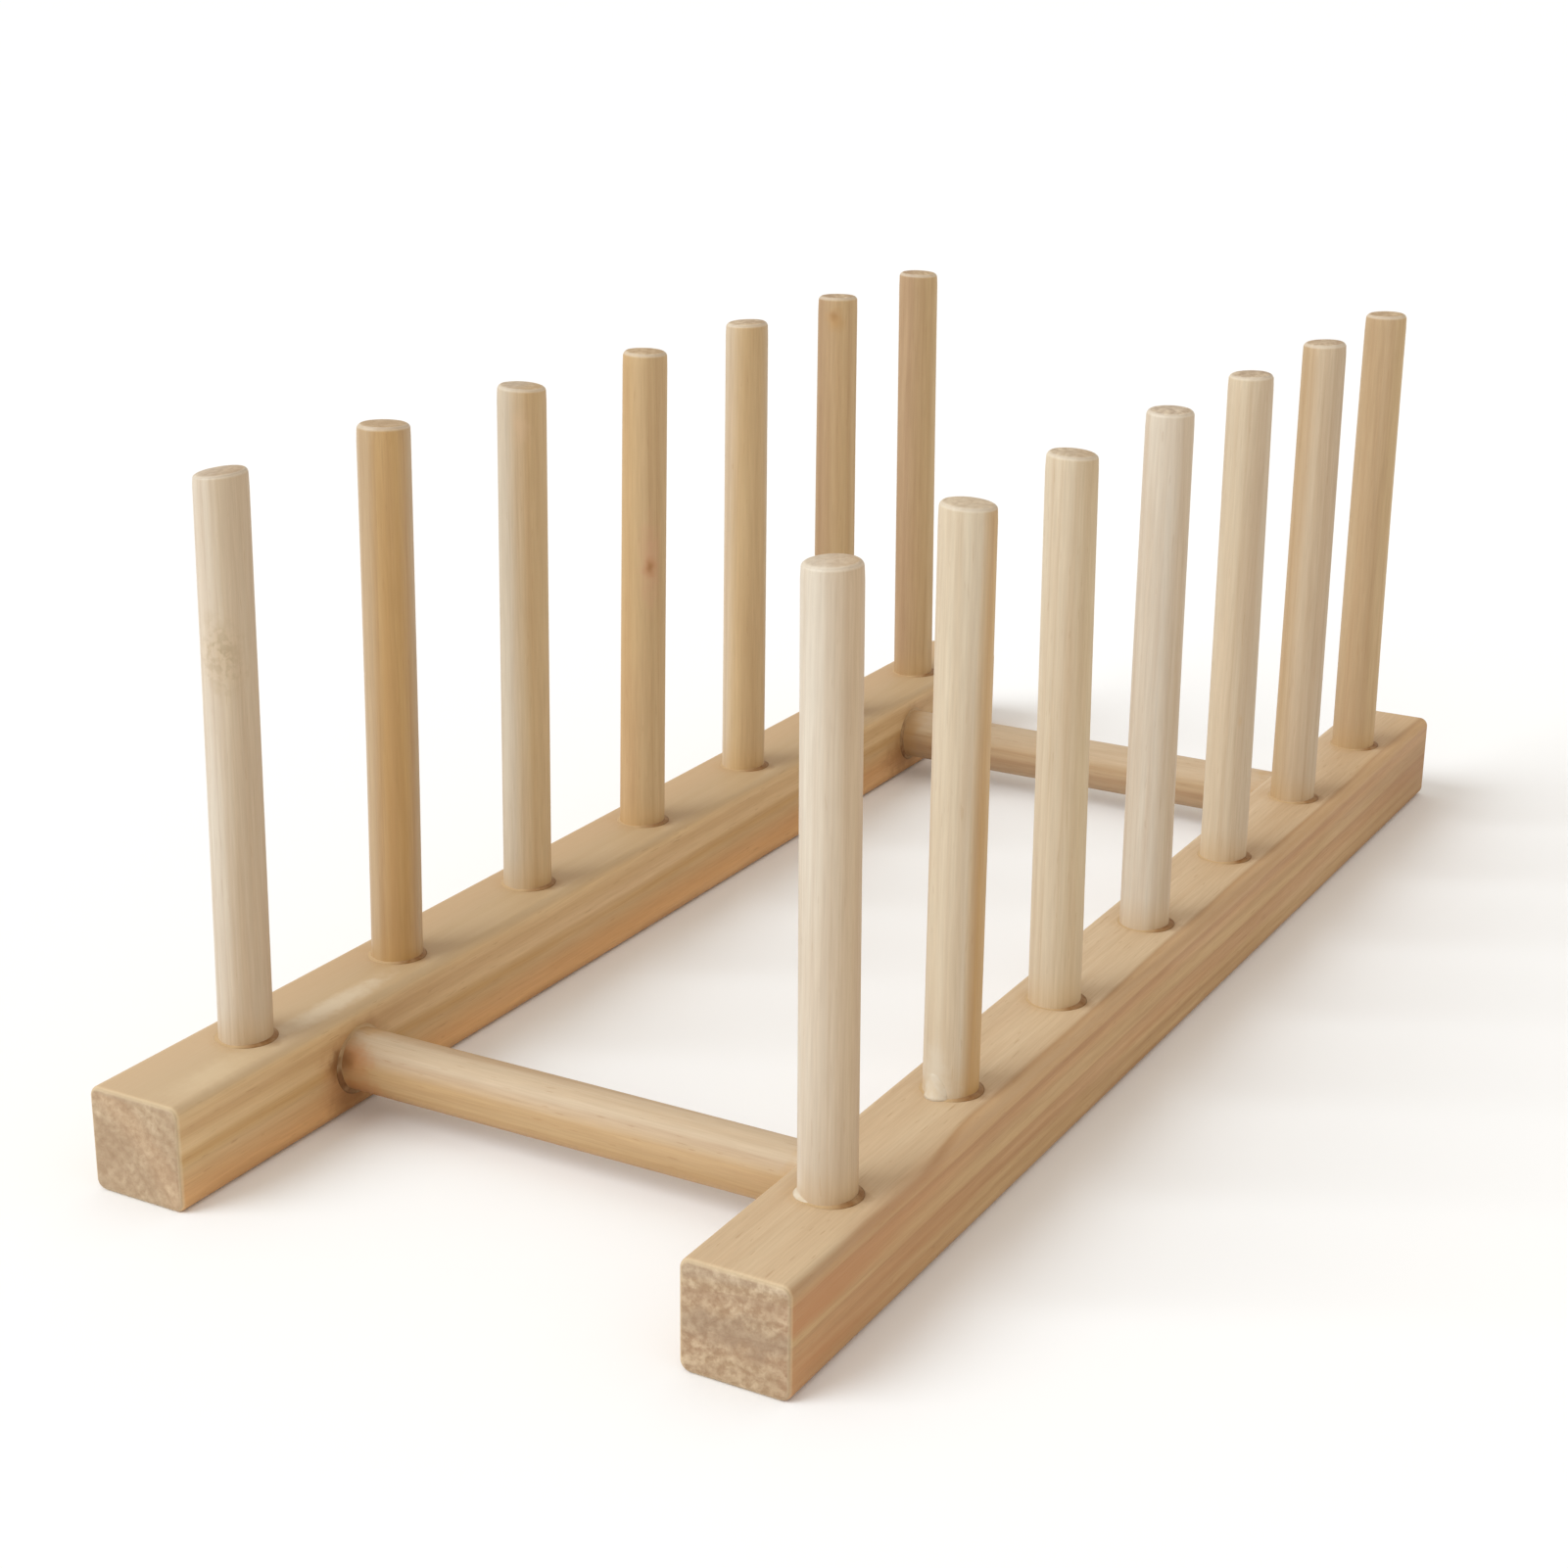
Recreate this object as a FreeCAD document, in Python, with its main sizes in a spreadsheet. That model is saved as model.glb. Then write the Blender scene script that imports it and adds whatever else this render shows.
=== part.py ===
import FreeCAD, Part
import os
import Sketcher

# A free-standing wooden rack that holds plates on edge. Two square rails lie on the ground, a row of
# round pegs stands in each rail, and two round cross bars tie the rails together.
# All sizes are in millimetres. The origin is on the ground under the middle of the rack. X runs
# across it from the left rail to the right one, Y runs along the rails away from the front, and Z is up.

# Driving sizes: name, value, and what it measures.
SIZES = (
    ("peg_count", 7, "pegs in each row"),
    ("peg_pitch", 45, "centre to centre of neighbouring pegs along a rail"),
    ("peg_end_margin", 30, "rail end to the centre of the nearest peg"),
    ("peg_diameter", 10, "diameter of a peg"),
    ("peg_rise", 105, "height of a peg's top above the rail"),
    ("peg_depth", 14, "depth of a peg's blind hole"),
    ("peg_top_round", 1.2, "radius round the rim of a peg's top"),
    ("rail_gap", 100, "clear width between the rails"),
    ("rail_width", 20, "width of a rail"),
    ("rail_height", 20, "height of a rail"),
    ("rail_edge_round", 2, "radius along a rail's four long edges"),
    ("rail_end_round", 1, "radius round a rail's end faces"),
    ("bar_diameter", 12, "diameter of a cross bar"),
    ("bar_depth", 10, "depth of a cross bar's blind hole"),
    ("bar_from_peg", 20, "end peg's centre to the cross bar's centre along the rail"),
    ("glue_gap", 0.1, "room for glue round a peg or bar in its hole"),
    ("mouth_chamfer", 0.4, "chamfer round the mouth of each hole"),
    ("lead_in", 1, "chamfer on the glued end of a peg or bar"),
)

# Sizes that follow from the driving ones.
ROW_LENGTH = "(sizes.peg_count - 1) * sizes.peg_pitch"
RAIL_LENGTH = f"{ROW_LENGTH} + 2 * sizes.peg_end_margin"
RAIL_X = "(sizes.rail_gap + sizes.rail_width) / 2"
FIRST_PEG_Y = f"-({ROW_LENGTH}) / 2"
FRONT_BAR_Y = f"{FIRST_PEG_Y} + sizes.bar_from_peg"
BAR_Z = "sizes.rail_height / 2"
PEG_BORE = "sizes.peg_diameter + 2 * sizes.glue_gap"
BAR_BORE = "sizes.bar_diameter + 2 * sizes.glue_gap"
MOUTH_GROWTH = "2 * sizes.mouth_chamfer"
PEG_LENGTH = "sizes.peg_rise + sizes.peg_depth"
BAR_LENGTH = "sizes.rail_gap + 2 * sizes.bar_depth"
PEG_FOOT_Z = "sizes.rail_height - sizes.peg_depth"

UP = FreeCAD.Vector(0, 0, 1)
HALF_TURN = 180
MOUTH_ANGLE = 90
# An edge lies in a plane if it is thinner than this across it.
FLAT = 1e-6
# How a sketch numbers its own axes and the points of a line or circle. The X axis starts at its origin.
X_AXIS = -1
Y_AXIS = -2
START_POINT = 1
END_POINT = 2
CENTRE_POINT = 3


def make_sheet(doc):
    """The spreadsheet of driving sizes: label, value and meaning, one size to a row."""
    sheet = doc.addObject("Spreadsheet::Sheet", "sizes")
    for row, (name, value, meaning) in enumerate(SIZES, start=1):
        sheet.set(f"A{row}", name)
        sheet.set(f"B{row}", str(value))
        sheet.setAlias(f"B{row}", name)
        sheet.set(f"C{row}", meaning)
    doc.recompute()
    return sheet


def make_body(doc, name):
    """An empty body for one piece, with the piece's name."""
    body = doc.addObject("PartDesign::Body", name)
    body.Label = name
    return body


def origin_feature(body, role):
    """One of a body's own origin planes or axes."""
    return next(item for item in body.Origin.OriginFeatures if item.Role == role)


def add_sketch(body, name, plane, height=None):
    """A sketch on one of the body's own planes, lifted along the plane's normal by an expression."""
    sketch = body.newObject("Sketcher::SketchObject", name)
    sketch.AttachmentSupport = [(origin_feature(body, plane), "")]
    sketch.MapMode = "FlatFace"
    if height:
        sketch.setExpression("AttachmentOffset.Base.z", height)
    return sketch


def bind(sketch, constraint, expression):
    """Adds a dimension to a sketch and ties it to an expression."""
    index = sketch.addConstraint(constraint)
    name = f"size_{index}"
    sketch.renameConstraint(index, name)
    sketch.setExpression(f"Constraints.{name}", expression)


def draw_circle(sketch, diameter, x_size=None, y_size=None):
    """A circle on the sketch's origin, or off it along either axis by the given expressions."""
    start = FreeCAD.Vector(
        sketch.evalExpression(x_size) if x_size else 0,
        sketch.evalExpression(y_size) if y_size else 0,
        0,
    )
    width = sketch.evalExpression(diameter)
    circle = sketch.addGeometry(Part.Circle(start, UP, width / 2), False)
    bind(sketch, Sketcher.Constraint("Diameter", circle, width), diameter)
    origin, centre = (X_AXIS, START_POINT), (circle, CENTRE_POINT)
    if x_size:
        bind(sketch, Sketcher.Constraint("DistanceX", *origin, *centre, start.x), x_size)
    else:
        sketch.addConstraint(Sketcher.Constraint("PointOnObject", *centre, Y_AXIS))
    if y_size:
        bind(sketch, Sketcher.Constraint("DistanceY", *origin, *centre, start.y), y_size)
    else:
        sketch.addConstraint(Sketcher.Constraint("PointOnObject", *centre, X_AXIS))


def draw_rail_section(sketch):
    """A rectangle that stands on the ground, centred across the rail."""
    width = sketch.evalExpression("sizes.rail_width")
    height = sketch.evalExpression("sizes.rail_height")
    low_left = FreeCAD.Vector(-width / 2, 0, 0)
    low_right = FreeCAD.Vector(width / 2, 0, 0)
    high_right = FreeCAD.Vector(width / 2, height, 0)
    high_left = FreeCAD.Vector(-width / 2, height, 0)
    bottom = sketch.addGeometry(Part.LineSegment(low_left, low_right), False)
    right = sketch.addGeometry(Part.LineSegment(low_right, high_right), False)
    top = sketch.addGeometry(Part.LineSegment(high_right, high_left), False)
    left = sketch.addGeometry(Part.LineSegment(high_left, low_left), False)
    for line, following in ((bottom, right), (right, top), (top, left), (left, bottom)):
        meeting = Sketcher.Constraint("Coincident", line, END_POINT, following, START_POINT)
        sketch.addConstraint(meeting)
    for line in (bottom, top):
        sketch.addConstraint(Sketcher.Constraint("Horizontal", line))
    for line in (right, left):
        sketch.addConstraint(Sketcher.Constraint("Vertical", line))
    base = (bottom, START_POINT, bottom, END_POINT)
    side = (right, START_POINT, right, END_POINT)
    sketch.addConstraint(Sketcher.Constraint("Symmetric", *base, X_AXIS, START_POINT))
    bind(sketch, Sketcher.Constraint("DistanceX", *base, width), "sizes.rail_width")
    bind(sketch, Sketcher.Constraint("DistanceY", *side, height), "sizes.rail_height")


def add_pad(body, name, sketch, length, side="One side"):
    """The sketch's outline drawn out to a length, one way or half of it each way."""
    pad = body.newObject("PartDesign::Pad", name)
    pad.Profile = sketch
    pad.SideType = side
    pad.setExpression("Length", length)
    body.Document.recompute()
    return pad


def edges_where(feature, wanted):
    """The names of a feature's edges whose bounding box passes a test."""
    found = []
    for index, edge in enumerate(feature.Shape.Edges, start=1):
        if wanted(edge.BoundBox):
            found.append(f"Edge{index}")
    return found


def ease_edges(body, kind, name, feature, edges, size):
    """A fillet or chamfer on the named edges of the body's last feature."""
    eased = body.newObject(f"PartDesign::{kind}", name)
    eased.Base = (feature, edges)
    eased.setExpression("Radius" if kind == "Fillet" else "Size", size)
    body.Document.recompute()
    return eased


def drill(body, name, sketch, bore, depth):
    """A flat-bottomed blind hole with a chamfered mouth, cut into the wood behind the sketch."""
    volume_before = body.Shape.Volume
    hole = body.newObject("PartDesign::Hole", name)
    hole.Profile = sketch
    body.Document.recompute()
    hole.DepthType = "Dimension"
    hole.DrillPoint = "Flat"
    hole.HoleCutType = "Countersink"
    hole.HoleCutCountersinkAngle = MOUTH_ANGLE
    hole.setExpression("Diameter", bore)
    hole.setExpression("Depth", depth)
    hole.setExpression("HoleCutDiameter", f"{bore} + {MOUTH_GROWTH}")
    body.Document.recompute()
    check_cut(body, name, volume_before)
    return hole


def check_cut(body, name, volume_before):
    """Stops if a cut pointed away from the wood and left it whole."""
    if body.Shape.Volume >= volume_before:
        raise RuntimeError(f"{body.Label}: {name} removed no wood")


def repeat_peg_hole(body, hole):
    """The peg hole again at every pitch along the rail."""
    volume_before = body.Shape.Volume
    row = body.newObject("PartDesign::LinearPattern", "peg_holes")
    row.Originals = [hole]
    row.Direction = (origin_feature(body, "Y_Axis"), [""])
    row.Mode = "Spacing"
    row.setExpression("Offset", "sizes.peg_pitch")
    row.setExpression("Occurrences", "sizes.peg_count")
    body.Tip = row
    body.Document.recompute()
    check_cut(body, row.Name, volume_before)


def mirror_bar_hole(body, hole):
    """The bar hole again, as far from the rail's other end."""
    volume_before = body.Shape.Volume
    pair = body.newObject("PartDesign::Mirrored", "bar_holes")
    pair.Originals = [hole]
    pair.MirrorPlane = (origin_feature(body, "XZ_Plane"), [""])
    body.Tip = pair
    body.Document.recompute()
    check_cut(body, pair.Name, volume_before)


def make_rail(doc, side, sign):
    """A rail: a square bar with eased edges, a row of holes in its top and two in its inner face.

    It is drawn as the left rail. Its holes are symmetric about its middle, so the right rail is the
    same piece turned half way round.
    """
    body = make_body(doc, f"{side}_rail")
    section = add_sketch(body, "section", "XZ_Plane")
    draw_rail_section(section)
    blank = add_pad(body, "blank", section, RAIL_LENGTH, "Symmetric")
    long_edges = edges_where(blank, lambda box: box.YLength > max(box.XLength, box.ZLength))
    planed = ease_edges(body, "Fillet", "long_edges", blank, long_edges, "sizes.rail_edge_round")
    end_edges = edges_where(planed, lambda box: box.YLength < FLAT)
    ease_edges(body, "Fillet", "end_edges", planed, end_edges, "sizes.rail_end_round")

    peg_place = add_sketch(body, "peg_place", "XY_Plane", "sizes.rail_height")
    draw_circle(peg_place, PEG_BORE, y_size=FIRST_PEG_Y)
    repeat_peg_hole(body, drill(body, "peg_hole", peg_place, PEG_BORE, "sizes.peg_depth"))

    bar_place = add_sketch(body, "bar_place", "YZ_Plane", "sizes.rail_width / 2")
    draw_circle(bar_place, BAR_BORE, x_size=FRONT_BAR_Y, y_size=BAR_Z)
    mirror_bar_hole(body, drill(body, "bar_hole", bar_place, BAR_BORE, "sizes.bar_depth"))

    if sign > 0:
        body.Placement.Rotation = FreeCAD.Rotation(UP, HALF_TURN)
    body.setExpression("Placement.Base.x", f"{sign} * {RAIL_X}")
    return body


def make_peg(doc, side, sign, number):
    """A peg: a round dowel with a softened top rim. Its chamfered foot stands in its blind hole."""
    body = make_body(doc, f"{side}_peg_{number}")
    section = add_sketch(body, "section", "XY_Plane")
    draw_circle(section, "sizes.peg_diameter")
    dowel = add_pad(body, "dowel", section, PEG_LENGTH)
    top_rim = edges_where(dowel, lambda box: box.ZMin > dowel.Length.Value - FLAT)
    rounded = ease_edges(body, "Fillet", "top_rim", dowel, top_rim, "sizes.peg_top_round")
    foot_rim = edges_where(rounded, lambda box: box.ZMax < FLAT)
    ease_edges(body, "Chamfer", "foot_rim", rounded, foot_rim, "sizes.lead_in")

    body.setExpression("Placement.Base.x", f"{sign} * {RAIL_X}")
    body.setExpression("Placement.Base.y", f"{FIRST_PEG_Y} + {number - 1} * sizes.peg_pitch")
    body.setExpression("Placement.Base.z", PEG_FOOT_Z)
    return body


def make_crossbar(doc, end, sign):
    """A cross bar: a round dowel whose chamfered ends reach the bottom of their holes in both rails."""
    body = make_body(doc, f"{end}_crossbar")
    section = add_sketch(body, "section", "YZ_Plane")
    draw_circle(section, "sizes.bar_diameter")
    dowel = add_pad(body, "dowel", section, BAR_LENGTH, "Symmetric")
    end_rims = edges_where(dowel, lambda box: box.XLength < FLAT)
    ease_edges(body, "Chamfer", "end_rims", dowel, end_rims, "sizes.lead_in")

    body.setExpression("Placement.Base.y", f"{sign} * ({FRONT_BAR_Y})")
    body.setExpression("Placement.Base.z", BAR_Z)
    return body


def make_rack(doc):
    """Every piece of the rack, each in a body of its own."""
    sheet = make_sheet(doc)
    pieces = []
    for side, sign in (("left", -1), ("right", 1)):
        pieces.append(make_rail(doc, side, sign))
        for number in range(1, int(sheet.get("peg_count")) + 1):
            pieces.append(make_peg(doc, side, sign, number))
    for end, sign in (("front", 1), ("rear", -1)):
        pieces.append(make_crossbar(doc, end, sign))
    doc.recompute()
    return pieces


def check_rack(doc, pieces):
    """Stops if any object failed, or if any piece isn't one valid solid."""
    for item in doc.Objects:
        if "Invalid" in item.State or "Error" in item.State:
            raise RuntimeError(f"{item.Label} failed: {item.State}")
    for piece in pieces:
        shape = piece.Shape
        if shape.isNull() or not shape.isValid() or len(shape.Solids) != 1:
            raise RuntimeError(f"{piece.Label} is not one valid solid")


def write_pieces(pieces):
    """One file for each piece, under its name."""
    os.makedirs("parts", exist_ok=True)
    for piece in pieces:
        piece.Shape.exportStep(f"parts/{piece.Label}.step")


rack_doc = FreeCAD.newDocument("plate_rack")
rack_pieces = make_rack(rack_doc)
check_rack(rack_doc, rack_pieces)
write_pieces(rack_pieces)
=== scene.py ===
"""Looks of a free-standing pine plate rack: wood, glue, floor, light and camera.

+Z is up. Places in the frame are in metres. Sizes in the shaders, and wherever a comment says so,
are in millimetres."""
import math
import random
from collections import namedtuple

import bpy
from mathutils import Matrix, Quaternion, Vector


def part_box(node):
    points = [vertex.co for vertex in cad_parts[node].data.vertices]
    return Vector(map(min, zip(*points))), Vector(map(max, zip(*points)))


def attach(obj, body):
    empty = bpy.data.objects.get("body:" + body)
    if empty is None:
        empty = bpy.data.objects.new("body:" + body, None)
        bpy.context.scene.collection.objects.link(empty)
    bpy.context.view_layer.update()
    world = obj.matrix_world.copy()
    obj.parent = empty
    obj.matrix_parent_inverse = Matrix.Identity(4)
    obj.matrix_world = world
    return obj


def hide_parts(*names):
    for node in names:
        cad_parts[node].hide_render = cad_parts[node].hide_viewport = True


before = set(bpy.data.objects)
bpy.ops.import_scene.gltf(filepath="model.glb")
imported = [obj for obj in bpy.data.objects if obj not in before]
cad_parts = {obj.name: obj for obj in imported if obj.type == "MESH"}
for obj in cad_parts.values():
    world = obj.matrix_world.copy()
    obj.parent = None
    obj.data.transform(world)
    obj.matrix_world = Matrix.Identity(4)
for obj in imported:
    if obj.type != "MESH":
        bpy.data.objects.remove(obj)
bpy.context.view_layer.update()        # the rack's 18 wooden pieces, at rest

MM = 0.001
UP = Vector((0, 0, 1))
TURN = 2 * math.pi


# ---------------------------------------------------------------- places in the frame

def centre_of(node):
    """The middle of a node. Metres."""
    low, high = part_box(node)
    return (low + high) / 2


def radius_of(dowel):
    """The radius of a peg, which stands along z, or of a cross bar, which lies along x. Millimetres."""
    low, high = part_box(dowel)
    return min(high.x - low.x, high.z - low.z) / 2 / MM


RAIL_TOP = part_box("right_rail")[1].z / MM
RAIL_X = centre_of("right_rail").x / MM         # the rails' middles lie at -RAIL_X and RAIL_X
PEG_PITCH = (centre_of("left_peg_2").y - centre_of("left_peg_1").y) / MM
HOLE_DEPTH = RAIL_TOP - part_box("left_peg_1")[0].z / MM
BAR_Y = centre_of("rear_crossbar").y / MM       # the cross bars lie at -BAR_Y and BAR_Y
BAR_Z = centre_of("rear_crossbar").z / MM


# ---------------------------------------------------------------- colours

def tone(red, green, blue):
    """A display colour, 0 to 255, as a linear shader colour."""
    def channel(value):
        share = value / 255
        return share / 12.92 if share <= 0.04045 else ((share + 0.055) / 1.055) ** 2.4
    return (channel(red), channel(green), channel(blue), 1.0)


CHALK = tone(218, 208, 192)
CREAM = tone(218, 204, 180)
SAND = tone(214, 194, 160)
WHEAT = tone(210, 184, 142)
TAN = tone(202, 170, 124)
HONEY = tone(200, 164, 110)
AMBER = tone(186, 148, 98)
BLUSH = tone(208, 178, 144)
SHELL = tone(206, 183, 151)
STONE = tone(208, 190, 164)
PUTTY = tone(206, 194, 174)
OAT = tone(197, 172, 137)
FAWN = tone(194, 156, 112)
RUST = tone(182, 130, 84)
BROWN = tone(153, 110, 66)
ASH = tone(168, 149, 120)
CARAMEL = tone(199, 160, 115)
TOFFEE = tone(222, 178, 124)
GOLD = tone(217, 188, 143)
MELLOW = tone(184, 159, 125)
BISCUIT = tone(194, 164, 122)
TAUPE = tone(188, 160, 127)
DRAB = tone(178, 149, 115)
ROSE = tone(200, 158, 126)
UMBER = tone(126, 86, 48)

END_DARK = tone(148, 124, 102)
END_PALE = tone(203, 184, 158)
RING_TINT = tone(206, 178, 150)
# Brown of old glue, used also for painted shade at the pegs' feet.
GLUE_AND_SHADE_BROWN = tone(132, 88, 42)
DRY_GLUE = tone(190, 161, 121)
MILKY_GLUE = tone(210, 199, 181)
CLOUDY_GLUE = tone(203, 187, 162)


# ---------------------------------------------------------------- node helpers

GLOSS = 0.32        # of wood and glue alike


class Tree:
    """Adds nodes to one node tree and links them. A value may be a socket or a constant."""

    def __init__(self, tree):
        self.tree = tree
        tree.nodes.clear()

    def add(self, kind, **settings):
        node = self.tree.nodes.new(kind)
        for name, value in settings.items():
            setattr(node, name, value)
        return node

    def feed(self, socket, value):
        if isinstance(value, bpy.types.NodeSocket):
            self.tree.links.new(value, socket)
        else:
            socket.default_value = value

    def feed_all(self, node, values):
        for socket, value in zip(node.inputs, values):
            self.feed(socket, value)

    def maths(self, operation, *values):
        node = self.add("ShaderNodeMath", operation=operation)
        self.feed_all(node, values)
        return node.outputs[0]

    def vector(self, operation, *values, output="Vector"):
        node = self.add("ShaderNodeVectorMath", operation=operation)
        self.feed_all(node, values)
        return node.outputs[output]

    def length(self, vector):
        return self.vector("LENGTH", vector, output="Value")

    def along(self, vector, way):
        """How far a vector reaches along a constant one."""
        return self.vector("DOT_PRODUCT", vector, tuple(way), output="Value")

    def split(self, vector):
        node = self.add("ShaderNodeSeparateXYZ")
        self.feed_all(node, (vector,))
        return node.outputs

    def join(self, x, y, z):
        node = self.add("ShaderNodeCombineXYZ")
        self.feed_all(node, (x, y, z))
        return node.outputs[0]

    def row_place(self):
        """The place in the rack, in millimetres, and the coordinates that it comes from."""
        coordinates = self.add("ShaderNodeTexCoord")
        row = self.vector("MULTIPLY", coordinates.outputs["Object"], (1 / MM, 1 / MM, 1 / MM))
        return row, coordinates

    def cloud(self, vector, scale, detail, roughness=0.5):
        node = self.add("ShaderNodeTexNoise")
        self.feed(node.inputs["Vector"], vector)
        node.inputs["Scale"].default_value = scale
        node.inputs["Detail"].default_value = detail
        node.inputs["Roughness"].default_value = roughness
        return node.outputs

    def noise(self, vector, scale, detail=2.0, roughness=0.5):
        """Smooth noise about 0.5. scale is in waves per unit of the vector."""
        return self.cloud(vector, scale, detail, roughness)["Fac"]

    def drift(self, vector, scale, reach, detail=1.0):
        """A smooth random shift of up to about reach each way."""
        centred = self.vector("SUBTRACT", self.cloud(vector, scale, detail)["Color"], (0.5, 0.5, 0.5))
        return self.vector("MULTIPLY", centred, (2 * reach, 2 * reach, 2 * reach))

    def span(self, value, low, high, to_low=0.0, to_high=1.0, curve="LINEAR"):
        """value from low..high to to_low..to_high, and held at the ends."""
        node = self.add("ShaderNodeMapRange", interpolation_type=curve)
        self.feed_all(node, (value, low, high, to_low, to_high))
        return node.outputs[0]

    def fall(self, value, low, high, curve="LINEAR"):
        """1 up to low, falling to 0 at high."""
        return self.span(value, low, high, 1.0, 0.0, curve)

    def ramp(self, value, low, high, stops):
        """A colour curve over value from low to high. Stops are (value, colour) in rising order."""
        node = self.add("ShaderNodeValToRGB")
        points = node.color_ramp.elements
        points.remove(points[1])
        points[0].color = stops[0][1]
        for place, colour in stops[1:]:
            points.new((place - low) / (high - low)).color = colour
        self.feed_all(node, (self.span(value, low, high),))
        return node.outputs[0]

    def grey_ramp(self, value, stops):
        return self.ramp(value, 0.0, 1.0, [(place, (grey, grey, grey, 1.0)) for place, grey in stops])

    def blend(self, share, first, second, mode="MIX"):
        node = self.add("ShaderNodeMix", data_type="RGBA", blend_type=mode)
        self.feed(node.inputs["Factor"], share)
        self.feed(node.inputs["A"], first)
        self.feed(node.inputs["B"], second)
        return node.outputs["Result"]

    def times(self, *values):
        product = values[0]
        for value in values[1:]:
            product = self.maths("MULTIPLY", product, value)
        return product

    def surface(self, colour, rough, relief):
        """Ends the tree: colour, roughness, and relief as a height in millimetres."""
        bump = self.add("ShaderNodeBump")
        bump.inputs["Distance"].default_value = MM
        bump.inputs["Strength"].default_value = 1.0
        self.feed(bump.inputs["Height"], relief)
        shader = self.add("ShaderNodeBsdfPrincipled")
        shader.inputs["Specular IOR Level"].default_value = GLOSS
        self.feed(shader.inputs["Base Color"], colour)
        self.feed(shader.inputs["Roughness"], rough)
        self.feed(shader.inputs["Normal"], bump.outputs[0])
        output = self.add("ShaderNodeOutputMaterial")
        self.feed(output.inputs["Surface"], shader.outputs[0])


# ---------------------------------------------------------------- wood

GRAIN_TURN = {"x": (0, math.pi / 2, 0), "y": (-math.pi / 2, 0, 0), "z": (0, 0, 0)}
GRAIN_WAY = {"x": (1, 0, 0), "y": (0, 1, 0), "z": (0, 0, 1)}

# How much slower the figure changes along the grain than across it.
WAVE_STRETCH = 0.09
FIBRE_STRETCH = 0.035
CANAL_STRETCH = 0.10
WEAR_STRETCH = 0.12

# How far a piece's figure is shifted for each unit of its seed: in space (mm) and in years.
SEED_SHIFT = (37.1, 17.3, 91.7)
SEED_YEARS = 13.7

# How dark one ring is, from spring, 0, to autumn, 1.
YEAR = ((0.0, 0.45), (0.14, 0.0), (0.45, 0.10), (0.80, 0.72), (0.92, 1.0), (1.0, 0.45))

# Relief (mm) of fibres, rings and canals, and of the specks and the grit on a cut end.
FIBRE_RELIEF = 0.030
RING_RELIEF = 0.010
CANAL_RELIEF = 0.02
SPECK_RELIEF = 0.26
GRIT_RELIEF = 0.06

ROUGH_SPREAD = 0.07     # how far the fibres change the roughness
TORN_ROUGHNESS = 0.26   # how much rougher a cut end is


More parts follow.
